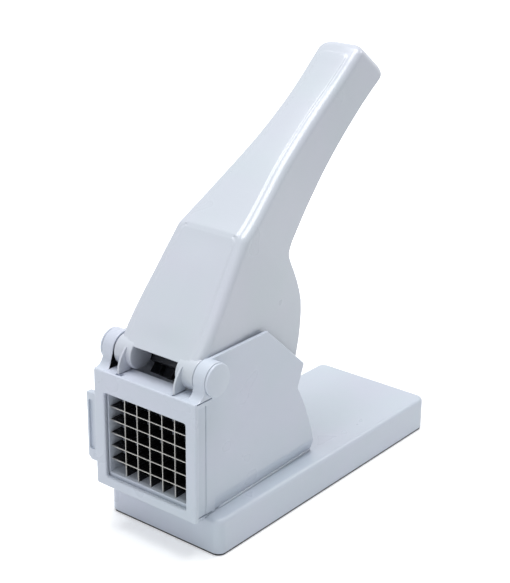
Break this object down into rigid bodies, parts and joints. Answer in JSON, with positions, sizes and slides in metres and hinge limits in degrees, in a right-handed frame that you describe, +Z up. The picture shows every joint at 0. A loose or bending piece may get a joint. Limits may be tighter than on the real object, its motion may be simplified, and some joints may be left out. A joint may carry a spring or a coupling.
{
  "type": "french fry cutter",
  "caption": "Bench-top lever press that pushes a potato through a slide-in grid of crossed steel blades, with a long base and a hinged handle.",
  "frame": {"origin": "middle of the pad's underside, on the surface that the cutter stands on", "axes": "+Z up; +X to the right seen from the cutting grid; +Y to the rear, the way the handle points"},
  "size_m": [0.0984, 0.247, 0.2837],
  "materials": {
    "pale_plastic": "satin-gloss moulded plastic, pale cool blue-white",
    "lever_plastic": "satin-gloss moulded plastic, pale cool blue-white",
    "dark_plastic": "finely textured moulded plastic, near black",
    "blade_steel": "fine brushed, bright cutting edge",
    "screw_steel": "zinc-bright",
    "pin_steel": "ground",
    "pad_rubber": "matte"
  },
  "bodies": {
    "stand": {"non_slip_pad": "pad_rubber", "bottom_cover": "pale_plastic", "base_shell": "pale_plastic", "housing": "pale_plastic", "chamber_floor": "dark_plastic", "hinge_pin_left": "pin_steel", "hinge_pin_right": "pin_steel", "hinge_cap_left": "pale_plastic", "hinge_cap_right": "pale_plastic", "cover_screw_1": "screw_steel", "cover_screw_2": "screw_steel", "cover_screw_3": "screw_steel", "cover_screw_4": "screw_steel", "body_screw_1": "screw_steel", "body_screw_2": "screw_steel", "body_screw_3": "screw_steel", "body_screw_4": "screw_steel"},
    "lever": {"lever_shell": "lever_plastic", "pusher_block": "dark_plastic", "pusher_screw_1": "screw_steel", "pusher_screw_2": "screw_steel", "pusher_screw_3": "screw_steel", "pusher_screw_4": "screw_steel"},
    "cassette": {"cassette_frame": "pale_plastic", "blade_retainer": "pale_plastic", "upright_blade_1": "blade_steel", "upright_blade_2": "blade_steel", "upright_blade_3": "blade_steel", "upright_blade_4": "blade_steel", "upright_blade_5": "blade_steel", "level_blade_1": "blade_steel", "level_blade_2": "blade_steel", "level_blade_3": "blade_steel", "level_blade_4": "blade_steel", "level_blade_5": "blade_steel"}
  },
  "joints": [
    {"name": "lever_hinge", "type": "hinge", "parent": "stand", "child": "lever", "pos_m": [0, -0.1129, 0.118], "axis": [-1, 0, 0], "range_deg": [0, 56]},
    {"name": "cassette_slide", "type": "slide", "parent": "stand", "child": "cassette", "axis": [-1, 0, 0], "range_m": [0, 0.09]}
  ]
}
